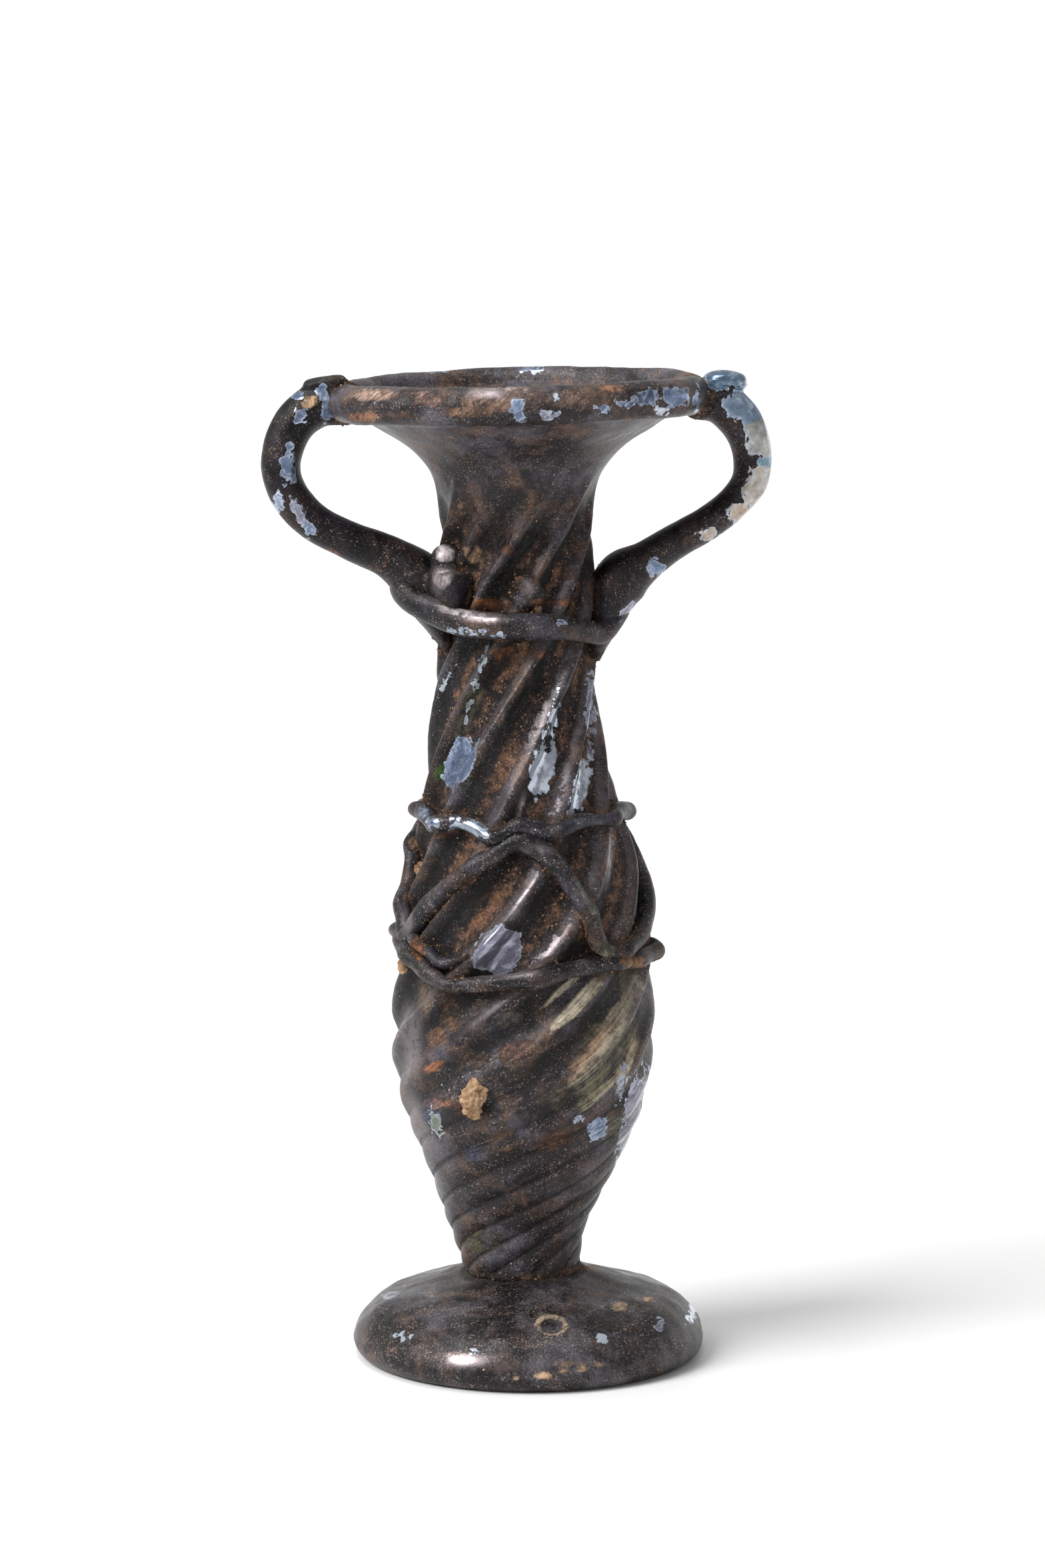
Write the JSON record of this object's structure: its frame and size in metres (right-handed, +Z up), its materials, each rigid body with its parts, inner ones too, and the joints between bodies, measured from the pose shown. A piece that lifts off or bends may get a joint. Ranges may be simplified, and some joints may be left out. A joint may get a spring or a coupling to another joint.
{
  "type": "two-handled glass balsamarium",
  "caption": "Slender blown-glass unguent flask with twisted ribs, funnel mouth, rolled rim, rod handles, wound trails and a pad foot.",
  "frame": {"origin": "centre of the foot's flat underside, on the surface the flask stands on", "axes": "+Z up along the flask, towards its mouth; -Y is the front that the picture shows; -X and +X run out through the two handles"},
  "size_m": [0.077, 0.0574, 0.1514],
  "materials": {
    "foot_glass": "satin",
    "vessel_glass": "satin",
    "left_handle_glass": "satin",
    "right_handle_glass": "satin",
    "trail_glass": "gloss"
  },
  "bodies": {
    "root": {"pad_foot": "foot_glass", "vessel": "vessel_glass", "left_handle": "left_handle_glass", "right_handle": "right_handle_glass", "neck_trail": "trail_glass", "upper_trail": "trail_glass", "lower_trail": "trail_glass", "zigzag_trail": "trail_glass"}
  },
  "joints": []
}
